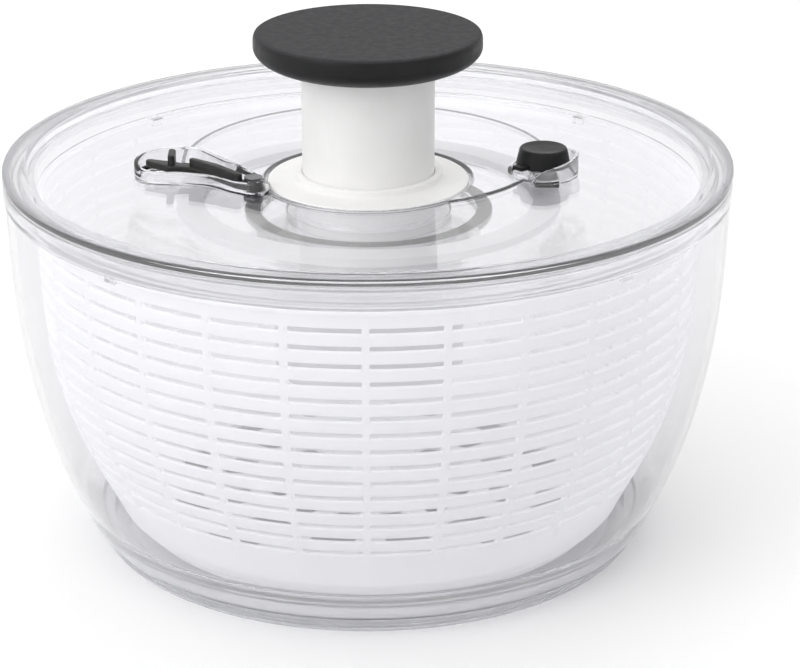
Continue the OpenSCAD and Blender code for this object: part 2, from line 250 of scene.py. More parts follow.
class Tree:
    """A material's node tree with short calls."""

    def __init__(self, name):
        self.material = bpy.data.materials.new(name)
        self.material.use_nodes = True
        self.nodes, self.links = self.material.node_tree.nodes, self.material.node_tree.links
        self.nodes.clear()
        self.out = self.nodes.new("ShaderNodeOutputMaterial")
        self.coords = self.nodes.new("ShaderNodeTexCoord").outputs["Object"]

    def node(self, kind, **values):
        n = self.nodes.new(kind)
        for key, value in values.items():
            if key in n.bl_rna.properties:
                setattr(n, key, value)
            else:
                self.put(n.inputs[key.replace("_", " ")], value)
        return n

    def put(self, socket, value):
        if isinstance(value, bpy.types.NodeSocket):
            self.links.new(value, socket)
        else:
            socket.default_value = value

    def noise(self, scale, detail=3, roughness=0.55, stretch=None):
        where = self.coords
        if stretch:
            where = self.node("ShaderNodeMapping", Vector=self.coords, Scale=stretch).outputs[0]
        values = {"Scale": scale, "Detail": detail, "Roughness": roughness}
        return self.node("ShaderNodeTexNoise", Vector=where, **values).outputs[0]

    def cells(self, scale):
        return self.node("ShaderNodeTexVoronoi", Vector=self.coords, Scale=scale).outputs["Distance"]

    def ranged(self, value, low_out, high_out, low_in=0.3, high_in=0.7):
        n = self.node("ShaderNodeMapRange")
        for i, v in enumerate((value, low_in, high_in, low_out, high_out)):
            self.put(n.inputs[i], v)
        return n.outputs[0]

    def tint(self, value, dark, light):
        n = self.node("ShaderNodeValToRGB")
        n.color_ramp.elements[0].position, n.color_ramp.elements[1].position = 0.3, 0.7
        n.color_ramp.elements[0].color, n.color_ramp.elements[1].color = (*dark, 1), (*light, 1)
        self.put(n.inputs[0], value)
        return n.outputs[0]

    def bump(self, height, distance, strength=1.0, under=None):
        n = self.node("ShaderNodeBump", Strength=strength, Distance=distance, Height=height)
        if under is not None:
            self.links.new(under, n.inputs["Normal"])
        return n.outputs[0]

    def principled(self, **values):
        return self.node("ShaderNodeBsdfPrincipled", **values)

    def blend(self, factor, a, b):
        n = self.node("ShaderNodeMixShader")
        self.put(n.inputs[0], factor)
        self.links.new(a, n.inputs[1])
        self.links.new(b, n.inputs[2])
        return n.outputs[0]

    def done(self, shader):
        self.links.new(shader, self.out.inputs["Surface"])
        return self.material


def clear_material(name, colour, rough_low, rough_high, ior, lamp_colour, frost=0.0):
    """Clear moulded plastic with faint flow waves and fine haze. It lets lamps through to what is inside."""
    t = Tree(name)
    waves = t.bump(t.noise(22, 2, 0.5, (1, 1, 0.35)), 0.0006, 0.12)
    shell = t.principled(
        Base_Color=(*colour, 1), IOR=ior, Transmission_Weight=1.0,
        Roughness=t.ranged(t.noise(60, 4, 0.6), rough_low, rough_high), Normal=waves)
    body = shell.outputs[0]
    if frost:
        haze = t.node("ShaderNodeBsdfTranslucent", Color=(0.97, 0.97, 0.98, 1), Normal=waves)
        body = t.blend(t.ranged(t.noise(90, 3), frost * 0.92, frost * 1.08), body, haze.outputs[0])
    lamp = t.node("ShaderNodeBsdfTransparent", Color=(*lamp_colour, 1))
    path = t.node("ShaderNodeLightPath")
    return t.done(t.blend(path.outputs["Is Shadow Ray"], body, lamp.outputs[0]))


def milky_material(name, dark, light, glow, translucent=0.45, see_through=0.2, rough=0.3, painted_glow=0.0):
    """Milky polypropylene: diffuse and translucent together, a soft gloss, fine cloudy variation, and a
    painted glow from emission that brightens it as if lit.
    """
    t = Tree(name)
    cloud = t.noise(35, 4, 0.6)
    grain = t.bump(t.noise(900, 2), 0.00004, 0.25, t.bump(t.noise(30, 2), 0.0004, 0.15))
    # painted light: the emission makes the plastic glow though it is no lamp, brightening it as if lit
    skin = t.principled(
        Base_Color=t.tint(cloud, dark, light), IOR=1.49, Normal=grain,
        Roughness=t.ranged(t.noise(120, 3), rough - 0.05, rough + 0.06),
        Emission_Color=(0.98, 0.98, 1.0, 1), Emission_Strength=painted_glow)
    through_light = t.node("ShaderNodeBsdfTranslucent", Color=(*glow, 1), Normal=grain)
    body = t.blend(translucent, skin.outputs[0], through_light.outputs[0])
    if see_through:
        gap = t.node("ShaderNodeBsdfTransparent", Color=(0.96, 0.96, 0.97, 1))
        body = t.blend(see_through, body, gap.outputs[0])
    return t.done(body)


def plastic_material(name, dark, light, rough_low, rough_high, grain_scale, grain_depth=0.00002, **extra):
    """Opaque moulded plastic with fine grain and a slow variation in colour and gloss."""
    t = Tree(name)
    fine = t.bump(t.noise(grain_scale, 2, 0.6), grain_depth, 0.6, t.bump(t.noise(28, 2), 0.0003, 0.1))
    shell = t.principled(
        Base_Color=t.tint(t.noise(45, 4, 0.65), dark, light),
        Roughness=t.ranged(t.noise(160, 3, 0.6), rough_low, rough_high), Normal=fine, **extra)
    return t.done(shell.outputs[0])


def grip_material(name, dark, light, rough):
    """Soft-touch rubber with a fine leathery grain."""
    t = Tree(name)
    cells = t.bump(t.cells(1500), 0.00007, 0.5)
    grain = t.bump(t.noise(2600, 3, 0.7), 0.00004, 0.5, cells)
    shell = t.principled(
        Base_Color=t.tint(t.noise(1300, 4, 0.7), dark, light), Normal=grain, Specular_IOR_Level=0.22,
        Roughness=t.ranged(t.noise(300, 3), rough - 0.05, rough + 0.08))
    return t.done(shell.outputs[0])


def steel_material(name, dark, light):
    """Drawn steel with fine streaks."""
    t = Tree(name)
    streak = t.noise(260, 3, 0.6, (1, 1, 8))
    shell = t.principled(
        Base_Color=t.tint(t.noise(70, 3), dark, light), Metallic=1.0,
        Roughness=t.ranged(streak, 0.16, 0.34), Normal=t.bump(streak, 0.00003, 0.4))
    return t.done(shell.outputs[0])


def floor_material():
    """Plain white paper."""
    t = Tree("floor_paper")
    shell = t.principled(
        Base_Color=t.tint(t.noise(3, 3), (0.9, 0.9, 0.9), (0.92, 0.92, 0.92)), Roughness=0.85,
        Normal=t.bump(t.noise(400, 2), 0.0001, 0.1), Emission_Color=(1, 1, 1, 1), Emission_Strength=0.06)
    return t.done(shell.outputs[0])


def even(value, blue=0.0):
    """A neutral colour, with a touch more blue."""
    return (value, value, value + blue)


CLEAR_LAMP = (0.975, 0.975, 0.98)
clear_bowl = clear_material("clear_bowl_plastic", (0.86, 0.857, 0.872), 0.012, 0.04, 1.46, CLEAR_LAMP)
clear_lid = clear_material("clear_lid_plastic", (0.96, 0.958, 0.97), 0.012, 0.035, 1.46, CLEAR_LAMP)
# painted shade: a dark grey strip of clear plastic for the pad's rear edge, standing in for the dark
# refraction line seen along it
lid_edge_painted_shade = clear_material("painted_shade_edge_plastic", even(0.15, 0.005), 0.05, 0.12, 1.5, even(0.8, 0.01))
rim_haze = clear_material(
    "hazed_rim_plastic", (0.95, 0.948, 0.96), 0.012, 0.03, 1.4, even(0.96, 0.01), frost=0.2)
# painted shade: a grey frosted plastic laid only on the brake cup's front wall, its grey standing in for
# shade seen on that side
cup_haze_painted_shade = clear_material(
    "hazed_cup_painted_shade_plastic", even(0.78, 0.01), 0.05, 0.12, 1.5, even(0.85, 0.01), frost=0.3)
clear_disc = clear_material("clear_disc_plastic", even(0.97, 0.005), 0.015, 0.05, 1.46, even(0.97, 0.005))
clear_foot = clear_material(
    "foot_ring_plastic", even(0.97, 0.005), 0.1, 0.2, 1.45, even(0.85, 0.01), frost=0.45)

# painted light: the basket glows with emission (strength 0.27), brightening it as if lit
milky = milky_material(
    "milky_basket_plastic", even(0.93, 0.005), even(0.96, 0.005), even(0.98, 0.005),
    translucent=0.5, rough=0.32, painted_glow=0.27)
# painted light: the sleeve glows with emission (strength 0.24)
milky_sleeve = milky_material(
    "milky_sleeve_plastic", even(0.86, 0.01), even(0.9, 0.01), even(0.95, 0.01), painted_glow=0.24)
# painted light: the housing glows with emission (strength 0.22)
grey_cup = milky_material(
    "grey_housing_plastic", even(0.7, 0.01), even(0.78, 0.01), even(0.84, 0.02), rough=0.28, painted_glow=0.22)
# painted shade: dark marbled grey for the housing's step, standing in for the shadowed inside of the housing
# seen through the clear disc
marbled_painted_shade_step = milky_material(
    "painted_shade_step_plastic", even(0.3, 0.01), even(0.62, 0.01), even(0.6, 0.02),
    translucent=0.3, see_through=0.4)
white = plastic_material("white_plastic_satin", (0.9, 0.895, 0.885), (0.94, 0.935, 0.925), 0.3, 0.42, 1400)
# painted light: the brake ring's track glows with emission (strength 0.14)
track_white = milky_material(
    "milky_track_plastic", even(0.84, 0.01), even(0.88, 0.01), even(0.9, 0.02),
    translucent=0.4, see_through=0.25, rough=0.35, painted_glow=0.14)
grey = plastic_material("grey_plastic_satin", even(0.3, 0.01), even(0.36, 0.01), 0.35, 0.5, 1400)
black = plastic_material(
    "black_plastic_satin", even(0.006, 0.0005), even(0.011, 0.001), 0.4, 0.52, 1800, Specular_IOR_Level=0.25)
lever_grey = plastic_material(
    "lever_plastic_satin", (0.012, 0.0115, 0.011), (0.024, 0.0225, 0.0215), 0.35, 0.5, 1500, 0.00003,
    Specular_IOR_Level=0.35)
grip = grip_material("grip_rubber_grain", even(0.018, 0.002), even(0.034, 0.003), 0.62)
steel = steel_material("drawn_steel", even(0.55, 0.01), even(0.72, 0.01))
dark_steel = steel_material("dark_steel", even(0.1, 0.005), even(0.2, 0.01))


# ---- bowl ----

def bowl_out(z):
    """Outer radius of the bowl at a height."""
    return BASE_R + (RIM_R - BASE_R - 0.4) * (1 - (1 - z / 160) ** 3.1) ** 0.97


BOWL_WALL = 2.8
BOWL_FLOOR_Z = 2.2
bowl_profile = rounded(
    [(0, BOWL_FLOOR_Z), (bowl_out(FOOT_Z) - 5.4, BOWL_FLOOR_Z), (bowl_out(FOOT_Z) - 2.2, FOOT_Z),
     (bowl_out(FOOT_Z), FOOT_Z, 0.25)]
    + [(bowl_out(z), z) for z in span(FOOT_Z + 0.6, BAND_Z - 0.7, 60)]
    + [(bowl_out(BAND_Z), BAND_Z, 0.4), (RIM_R, BAND_Z + 0.5, 0.35), (RIM_R, RIM_Z, 0.6)]
    + [(RIM_R - 3.1, RIM_Z, 0.5), (RIM_R - 3.1, BAND_Z + 2, 0.8)]
    + [(bowl_out(z) - BOWL_WALL, z) for z in reversed(span(19, BAND_Z, 56))]
    + [(103.6, 11.8, 3), (98, 7, 4), (92, 5, 3), (14, 5, 3), (7, 9, 2), (3, 9, 0.6), (3, 16, 0.5), (0, 16)],
    5)
bowl = place(solid("bowl_shell", lathe_data(bowl_profile)), "bowl_body", "clear_plastic", clear_bowl, "bowl")
for face in bowl.data.polygons:
    x, y, z = face.center / MM
    hazed = z > BAND_Z - 0.3 or (z < 20 and math.hypot(x, y) > 95)
    paint(bowl, face, rim_haze if hazed else clear_bowl)

FOOT_IN_R, GROOVES, GROOVE_PITCH, GROOVE_DEPTH = 94, 3, 2, 0.5
foot = [(FOOT_IN_R, 0.4), (FOOT_IN_R + 0.4, 0), (BASE_R - 1, 0, 0.3)]
for k in range(GROOVES):
    z0 = 0.7 + GROOVE_PITCH * k
    foot += [(bowl_out(z0), z0, 0.35), (bowl_out(z0 + 1.2), z0 + 1.2, 0.3)]
    foot += [(bowl_out(z0 + dz) - GROOVE_DEPTH, z0 + dz, 0.12) for dz in (1.4, 1.8)]
foot += [(bowl_out(FOOT_Z) - 0.2, FOOT_Z, 0.15), (bowl_out(FOOT_Z) - 2.25, FOOT_Z)]
foot += [(bowl_out(FOOT_Z) - 5.45, BOWL_FLOOR_Z - 0.05), (FOOT_IN_R, BOWL_FLOOR_Z - 0.05)]
foot_ring = solid("foot_ring_grooved", lathe_data(rounded(foot, 3)))
place(foot_ring, "bowl_body", "foot_rubber", clear_foot, "foot_ring")


# ---- basket ----

BARS, ROWS, PITCH, SLOT_H, BAR_W = 28, 15, 6.3, 2.1, 2.5
SLOT_TOP = BASKET_TOP_Z - 7.5
WALL = 2.0
LUG_Z, LUG_DEGS = 128, (45, 135, 225, 315)


def basket_out(z):
    """Outer radius of the basket at a height."""
    height, flare = 120, 27.1
    t = min(height, max(0, z - BASKET_FOOT_Z)) / height
    return BASKET_R - flare + flare * (1 - (1 - t) ** 3.4) ** 1.55


def pill_loop(along, across, radius, steps=3, sides=6):
    """Round-cornered loop of half sizes along and across, its long sides in even steps."""
    loop = []
    for sx, sy, start in ((1, 1, 0), (-1, 1, 90), (-1, -1, 180), (1, -1, 270)):
        for i in range(steps + 1):
            x, y = polar(radius, start + 90 * i / steps)
            loop.append((sx * (along - radius) + x, sy * (across - radius) + y))
        if start in (0, 180):
            x, y = loop[-1]
            loop += [(mix(x, -sx * (along - radius), i / sides), y) for i in range(1, sides)]
    return loop


def join_data(parts):
    """Several lots of points and faces as one."""
    verts, faces = [], []
    for v, f in parts:
        faces += [[i + len(verts) for i in face] for face in f]
        verts += v
    return verts, faces


def wall_slot(angle, z0, half_deg):
    """A cutter through the basket wall with eased edges inside and out."""
    half_w, rings = math.radians(half_deg) * BASKET_R, []
    eased = ((-2, 0.32), (0, 0.3), (0.1, 0.1), (0.35, 0))
    for depth, grow in eased + tuple((WALL - depth, grow) for depth, grow in reversed(eased)):
        loop = pill_loop(half_w + grow, SLOT_H / 2 + grow, 0.5 + grow)
        rings.append([(*polar(basket_out(z0 + y) - depth, angle + math.degrees(x / BASKET_R)), z0 + y)
                      for x, y in loop])
    return loft_data(rings)


def floor_slot(angle, radius, half_deg, half_w):
    """A cutter through the basket floor with eased edges above and below."""
    rings = []
    for z, grow in ((10, 0.4), (11, 0.4), (11.4, 0), (12.6, 0), (13, 0.4), (14, 0.4)):
        loop = pill_loop(math.radians(half_deg) * radius + grow, half_w + grow, 3 + grow, 4)
        rings.append([(*polar(radius + y, angle + math.degrees(x / radius)), z) for x, y in loop])
    return loft_data(rings)


def block_data(centre, half, turn=0):
    """A box with half sizes, turned about its upright line."""
    c, s = math.cos(math.radians(turn)), math.sin(math.radians(turn))
    ring = [(centre[0] + c * x * half[0] - s * y * half[1], centre[1] + s * x * half[0] + c * y * half[1])
            for x, y in ((1, 1), (-1, 1), (-1, -1), (1, -1))]
    return loft_data([[(x, y, centre[2] + k * half[2]) for x, y in ring] for k in (-1, 1)])


basket_profile = rounded(
    [(0, 11), (87.5, 11, 0.4), (88, 8, 0.3), (90, 8, 0.3), (90.5, 11, 0.4), (94, 12.2, 1.2)]
    + [(basket_out(z), z) for z in span(16, BASKET_TOP_Z - 2.6, 64)]
    + [(basket_out(127), BASKET_TOP_Z - 1.8, 0.3), (BASKET_R + 1.5, BASKET_TOP_Z - 1.5, 0.35)]
    + [(BASKET_R + 1.5, BASKET_TOP_Z, 0.35)]
    + [(BASKET_R - WALL, BASKET_TOP_Z, 0.5)]
    + [(basket_out(z) - WALL, z) for z in reversed(span(18, BASKET_TOP_Z - 2, 62))]
    + [(91.5, 13, 2.4), (8.5, 13, 0.8), (7.5, 18.5, 0.5), (0, 18.5)], 4)
cell_deg = 360 / BARS
half_slot = (cell_deg - math.degrees(BAR_W / BASKET_R)) / 2
cutters = [wall_slot(270 + half_slot + k * cell_deg, SLOT_TOP - row * PITCH, half_slot)
           for row in range(ROWS) for k in range(BARS)]
cutters += [floor_slot(15 + 30 * k, r, 9, 5.5) for k in range(12) for r in (34, 52, 70)]
cutters += [block_data((*polar(BASKET_R, a), LUG_Z), (4, 3, 2.5), a) for a in LUG_DEGS]
basket = solid("basket_lattice", lathe_data(basket_profile, 336))
combine(basket, [("DIFFERENCE", solid("cut_slots", join_data(cutters))),
                 ("DIFFERENCE", solid("cut_hub", pin_data(3.1, 5, 16.05)))])
place(basket, "basket_body", "milky_plastic", milky, "basket")


# ---- lid ----

LID_SHEET, RING_R, LID_HOLE_R, HUB_R = 2.4, 40.0, 34.2, 38.2
PAD_STEP, PAD_REAR, PAD_FRONT = 0.8, ((0, 18.7), 69.8), ((8, 25), 57)
CHAIN = ((-75.5, 4.8, 9.6), (-69.8, 5.0, 9.4), (-55.5, -3.8, 3.7), (-46.8, -11.7, 3.8), (-41.6, -14.4, 4.4))
TROUGH_FLOOR = HUB_Z + 0.2
TROUGH_MID_Z = HUB_Z + 5.9
SKIRT_Z = low("lid_cover")[2]
LID_TURNS = 384
TONGUE_DEG, NOTCH_Z = 222, HUB_Z + 1


def lid_surface(r):
    """Height of the lid's dished top at a distance from the axis."""
    return HUB_Z + (LID_TOP_Z - 3.8 - HUB_Z) * (max(0, r - HUB_R) / (DISH_R - HUB_R)) ** 2


def arc_reach(deg, centre, radius):
    """Distance from the axis to a circle about another centre, in a direction."""
    x, y = polar(1, deg)
    along = centre[0] * x + centre[1] * y
    return along + math.sqrt(along * along - centre[0] ** 2 - centre[1] ** 2 + radius * radius)


def pad_edge(deg):
    """Distance from the axis to the pad's edge: a rear arc, a smaller one front right, a ring in front."""
    a = deg % 360
    rear, front = arc_reach(a, *PAD_REAR), max(RING_R, arc_reach(a, *PAD_FRONT))
    if a < 90:
        return mix(front, rear, step(3.6, 7.2, a))
    if a < 177:
        return rear
    if a < 270:
        left = ((177, arc_reach(177, *PAD_REAR)), (184, 55.6), (194, 48.2), (200, 43.1), (203, RING_R))
        return through(left, a)
    return front


def pad_strip(deg):
    """Width of the painted shade strip along the pad's edge, a dark line standing in for the refraction
    shade there, widest at the rear.
    """
    return 1.05 + 1.1 * max(0, polar(1, deg)[1])


def lid_ring(deg):
    """The lid's closed outline in one direction: collar seat, pad, dish, rim, and back underneath."""
    edge, e = pad_edge(deg), 0.36
    strip = pad_strip(deg)

    def pad(r):
        return (r, lid_surface(r) + PAD_STEP)

    def dish(r):
        return (r, lid_surface(r))

    def under(r):
        return (r, lid_surface(r) - LID_SHEET)

    top = rounded([(LID_HOLE_R, COLLAR_Z), (HUB_R, COLLAR_Z), (*pad(HUB_R), 0.35), pad(HUB_R + 1)], 3)[:-1]
    top += [pad(mix(HUB_R + 1, edge - strip, t)) for t in span(0, 1, 18)]
    top += rounded([pad(edge - 2 * e), (*pad(edge), e), (*dish(edge), e * 0.8), dish(edge + 2 * e)], 4)[1:-1]
    top += [dish(mix(edge + e, DISH_R, t)) for t in span(0, 1, 30)]
    dish_z = lid_surface(DISH_R)
    rim = rounded([
        (DISH_R - 2, dish_z), (DISH_R + 0.2, dish_z + 0.1, 0.5), (DISH_R + 0.4, LID_TOP_Z - 0.3, 0.8),
        (DISH_R + 1.6, LID_TOP_Z, 0.4), (RIM_R, LID_TOP_Z, 1.0), (RIM_R, RIM_Z + 0.2, 0.4),
        (RIM_R - 0.4, RIM_Z, 0.2), (RIM_R - 3.7, RIM_Z, 0.5), (RIM_R - 3.7, SKIRT_Z, 0.7),
        (RIM_R - 5.9, SKIRT_Z, 0.7), (RIM_R - 5.9, dish_z - LID_SHEET, 1.2), under(DISH_R - 3)], 4)[1:-1]
    return top + rim + [under(mix(DISH_R - 3, LID_HOLE_R, t)) for t in span(0, 1, 40)]


def swept(rings):
    """Points and faces of a ring-shaped solid from its closed outline in evenly spaced directions."""
    turns, n = len(rings), len(rings[0])
    verts = [(*polar(r, 360 * j / turns), z) for j, ring in enumerate(rings) for r, z in ring]
    faces = [[j * n + i, j * n + (i + 1) % n, (j + 1) % turns * n + (i + 1) % n, (j + 1) % turns * n + i]
             for j in range(turns) for i in range(n)]
    return verts, faces


def chain_loop(circles, grow=0.0, every=6, ease=3.0):
    """Outline of a row of circles (x, y, r) joined by their tangents, with room grow added all round."""
    c = [Vector(p[:2]) for p in circles]
    r = [p[2] + grow for p in circles]
    n = len(c) - 1
    way = [math.degrees(math.atan2(c[i + 1].y - c[i].y, c[i + 1].x - c[i].x)) for i in range(n)]
    lean = [math.degrees(math.acos((r[i] - r[i + 1]) / (c[i + 1] - c[i]).length)) for i in range(n)]
    out = []

    def corner(i, start, sweep):
        if sweep <= 0:
            x, y = polar(r[i] / math.cos(math.radians(sweep / 2)), start + sweep / 2)
            out.append((c[i].x + x, c[i].y + y, ease))
            return
        steps = max(1, math.ceil(sweep / every))
        for k in range(steps + 1):
            x, y = polar(r[i], start + sweep * k / steps)
            out.append((c[i].x + x, c[i].y + y))

    def turn(a):
        return a - 360 * round(a / 360)

    corner(0, way[0] + lean[0], 360 - 2 * lean[0])
    for i in range(1, n):
        corner(i, way[i - 1] - lean[i - 1], turn(way[i] - lean[i] - way[i - 1] + lean[i - 1]))
    corner(n, way[-1] - lean[-1], 2 * lean[-1])
    for i in range(n - 1, 0, -1):
        corner(i, way[i] + lean[i], turn(way[i - 1] + lean[i - 1] - way[i] - lean[i]))
    return rounded(out, 6)


def trough_top(x, y):
    """Rises away from the collar, and is lower along the front than along the rear."""
    by_reach = ((36, HUB_Z + 1.5), (40, 138), (44, 140.5), (50, 142), (66, 142), (100, 141.4))
    round_end = TROUGH_MID_Z + 0.1246 * (y - 4.8)
    arm = TROUGH_MID_Z + 0.38 * (0.672 * (x + 51) + 0.741 * (y + 7.8))
    return min(through(by_reach, math.hypot(x, y)), max(round_end, arm))


def around_cup(x, y):
    """Direction in degrees from the brake cup's centre."""
    return math.degrees(math.atan2(y - CUP[1], x - CUP[0]))


def cup_top(x, y):
    """The brake cup's wall is highest on the right and dips at the front left, at the button's tongue."""
    plane = min(142.2, 139 + (x - CUP[0]) * math.tan(math.radians(13)))
    away = abs((around_cup(x, y) - TONGUE_DEG + 180) % 360 - 180)
    return mix(NOTCH_Z, plane, step(20, 50, away))


def raised(loop, top, start, sign=1):
    """Rings of a wall's outer side, or with sign -1 of the hollow inside it, rounded at the top."""
    rings = [[(x, y, z) for x, y in loop(grow)] for z, grow in start]
    for under, grow in ((0.55, 0), (0.3, -0.05), (0.1, -0.2), (0.0, -0.55)):
        rings.append([(x, y, top(x, y) - under) for x, y in loop(sign * grow)])
    return rings


def wall_data(loop, top, low_z):
    """A raised wall's outer shape, from a height relative to the hub."""
    return loft_data(raised(loop, top, ((HUB_Z + low_z, 0),)))


def hollow_data(loop, top, ease):
    """The room inside a raised wall, with its floor corner eased, up past the top."""
    z0 = TROUGH_FLOOR
    rings = raised(loop, top, ((z0, -ease), (z0 + 0.2, 0.15 - 0.5 * ease), (z0 + 0.8, 0)), -1)
    return loft_data(rings + [[(x, y, 150) for x, y, _ in rings[-1]]])


def cup_loop(radius):
    return [polar(radius, k * 3.75, CUP) for k in range(96)]


lid = solid("lid_moulding", swept([lid_ring(360 * j / LID_TURNS) for j in range(LID_TURNS)]))

PIVOT = [v / MM for v in joint("lever_lock")["pos_m"]]
CUP_R, CUP_WALL = 11.5, 1.6
notch = block_data((*polar(13, TONGUE_DEG, CUP), NOTCH_Z + 6), (4, 4, 6), TONGUE_DEG)
combine(lid, [
    ("UNION", solid("add_trough", wall_data(lambda g: chain_loop(CHAIN, CUP_WALL + g), trough_top, -2.2))),
    ("UNION", solid("add_cup", wall_data(lambda g: cup_loop(CUP_R + CUP_WALL + g), cup_top, -2))),
    ("DIFFERENCE", solid("cut_trough", hollow_data(lambda g: chain_loop(CHAIN, g), trough_top, 1.1))),
    ("DIFFERENCE", solid("cut_cup", hollow_data(lambda g: cup_loop(CUP_R + g), cup_top, 1.0))),
    ("DIFFERENCE", solid("cut_notch", notch)),
    ("DIFFERENCE", solid("cut_stem", pin_data(4, 120, 140, CUP))),
    ("DIFFERENCE", solid("cut_pivot", pin_data(2.6, 120, 140, PIVOT))),
], 30)
place(lid, "lid_body", "clear_plastic", clear_lid, "lid_cover")


def lid_face_material(x, y, z):
    """Painted shade as a dark strip along the pad's rear edge and as grey frost on the cup's front wall;
    hazed at the hub and the rim, else clear.
    """
    r, deg = math.hypot(x, y), math.degrees(math.atan2(y, x))
    rise = z - lid_surface(r)
    at_edge = -pad_strip(deg) < r - pad_edge(deg) < 0.8 and -0.3 < rise < PAD_STEP + 0.1
    on_cup = abs(math.hypot(x - CUP[0], y - CUP[1]) - CUP_R - CUP_WALL) < 0.25 and rise > 0.5
    # painted shade: the pad's rear edge takes the dark strip
    if at_edge and y > 8:
        return lid_edge_painted_shade
    if (at_edge and r > RING_R + 2) or r < HUB_R + 1.2:
        return rim_haze
    # painted shade: the brake cup's front wall takes the grey frosted plastic
    if on_cup and -125 < around_cup(x, y) < 30:
        return cup_haze_painted_shade
    return rim_haze if r > DISH_R - 1.5 else clear_lid


for face in lid.data.polygons:
    paint(lid, face, lid_face_material(*face.center / MM))

COLLAR_R = high("guide_collar")[0]
collar = rounded([
    (TUBE_R + 0.1, COLLAR_Z), (COLLAR_R, COLLAR_Z), (COLLAR_R, COLLAR_Z + 1.6, 0.6),
    (TUBE_R + 4.2, COLLAR_Z + 1.8, 1.6), (TUBE_R + 2.85, COLLAR_Z + 2.6, 0.6),
    (TUBE_R + 2.85, COLLAR_Z + 5, 0.7), (TUBE_R + 0.1, COLLAR_Z + 5, 0.9)], 5)
place(solid("collar_flange", lathe_data(collar, 192)), "lid_body", "white_plastic", white, "guide_collar")


# ---- knob ----

UNDER_Z = KNOB_Z - 12.6
GRIP_LOW_R = TUBE_R + 0.15
CORE_R = high("knob_core")[0] + 0.05
WIDEST_Z = KNOB_Z - 5
knob = [(0, KNOB_Z - 3.4), (CORE_R, KNOB_Z - 3.4), (CORE_R, KNOB_Z - 6)]
knob += [(GRIP_LOW_R, KNOB_Z - 6), (GRIP_LOW_R, UNDER_Z, 0.4)]
for t in span(4, 90, 30):
    down, out = polar(1, t)
    knob.append((mix(GRIP_LOW_R, KNOB_R, out ** 0.9), mix(WIDEST_Z, UNDER_Z, down)))
knob += [(KNOB_R - 0.05, KNOB_Z - 1.9, 0.6), (KNOB_R - 0.6, KNOB_Z - 0.35, 0.6), (KNOB_R - 1.7, KNOB_Z, 0.6)]
knob += [(KNOB_R - 6, KNOB_Z), (0, KNOB_Z)]
knob_piece = solid("knob_cap", lathe_data(rounded(knob, 5)))
place(knob_piece, "plunger", "black_grip", black, "knob_grip")
for face in knob_piece.data.polygons:
    on_top = face.center.z > (KNOB_Z - 0.9) * MM and face.normal.z > 0.5
    paint(knob_piece, face, grip if on_top else black)


# ---- lever ----

CLIMB = 0.1
LEVER_Z = low("lock_lever")[2] + CLIMB * 3.6
LEAF = ((-41.8, -13.8, 3.6), (-47.6, -13.1, 1.9), (-56.3, -5.2, 2.0), (-64.2, -0.9, 2.0), (-72.5, -0.6, 3.4),
        (-80.2, 1.6, 1.8))
ARM = ((-47.6, -13.1, 1.7), (-56.3, -5.2, 1.8), (-64.2, -0.9, 1.6))
POST = ((-72.4, -1.4, 1.3), (-72.4, 5.2, 1.3))


def bar_data(circles, z0, z1, ease):
    """A flat bar along a row of circles, climbing toward its left end as the lever does."""
    levels = [(z0, -0.15), (z0 + 0.15, 0), (z1 - ease, 0), (z1 - 0.5 * ease, -0.14 * ease),
              (z1 - 0.14 * ease, -0.5 * ease), (z1, -ease)]
    return loft_data([[(x, y, z + CLIMB * (PIVOT[0] - x)) for x, y in chain_loop(circles, grow, 10)]
                      for z, grow in levels])


lever = solid("lever_arm", bar_data(LEAF, LEVER_Z, LEVER_Z + 2.4, 0.7))
combine(lever, [
    ("UNION", solid("add_arm", bar_data(ARM, LEVER_Z + 0.3, LEVER_Z + 5.2, 0.6))),
    ("UNION", solid("add_post", bar_data(POST, LEVER_Z + 0.3, LEVER_Z + 6, 0.5))),
    ("DIFFERENCE", solid("cut_shaft", pin_data(2.5, 130, 145, PIVOT))),
], 30)
place(lever, "lever", "grey_plastic", lever_grey, "lock_lever")


# ---- brake button ----

button = rounded([
    (8.9, 137.6), (10.1, 137.6, 0.3), (10.0, 138.6, 0.5), (8.9, 143.6, 0.4), (8.4, BUTTON_Z, 0.3),
    (7.6, BUTTON_Z, 0.4), (5, BUTTON_Z - 0.45, 1.4), (0, BUTTON_Z - 0.7), (0, 141.4), (8.2, 141.4)], 5)
button_piece = solid("brake_button_cap", lathe_data(button, 128, CUP))
tongue = block_data((*polar(11.1, TONGUE_DEG, CUP), NOTCH_Z + 3.75), (2.5, 2.4, 0.65), TONGUE_DEG)
combine(button_piece, [("UNION", solid("add_tongue", tongue))], 30)
place(button_piece, "brake", "black_plastic", black, "brake_button")


# ---- drive housing and spinning disc ----

CUP_FLOOR = low("housing_cup")[2]
STEP_Z, HOUSING_TOP_Z = 103.2, 119.8
housing = rounded([
    (5.1, CUP_FLOOR), (33.5, CUP_FLOOR, 0.8), (35.5, CUP_FLOOR + 2, 0.8), (35.5, STEP_Z - 1.8, 0.6),
    (40, STEP_Z - 1.8, 0.6), (40.9, STEP_Z - 0.9, 0.5), (42, 115, 2), (46, HOUSING_TOP_Z - 2, 0.4),
    (46, HOUSING_TOP_Z, 0.3), (40, HOUSING_TOP_Z, 0.2), (40.4, 116, 1.5), (39.1, STEP_Z, 0.5),
    (33.7, STEP_Z, 0.5), (33.7, CUP_FLOOR + 2, 1.2), (5.1, CUP_FLOOR + 2)], 5)
housing_piece = place(
    solid("housing_shell", lathe_data(housing, 192)), "rotor", "grey_plastic", grey_cup, "housing_cup")
for face in housing_piece.data.polygons:
    z = face.center.z / MM
    # painted shade: the step's faces take the dark marbled grey
    if z > STEP_Z - 2.2:
        paint(housing_piece, face, clear_disc if z > STEP_Z + 0.3 else marbled_painted_shade_step)

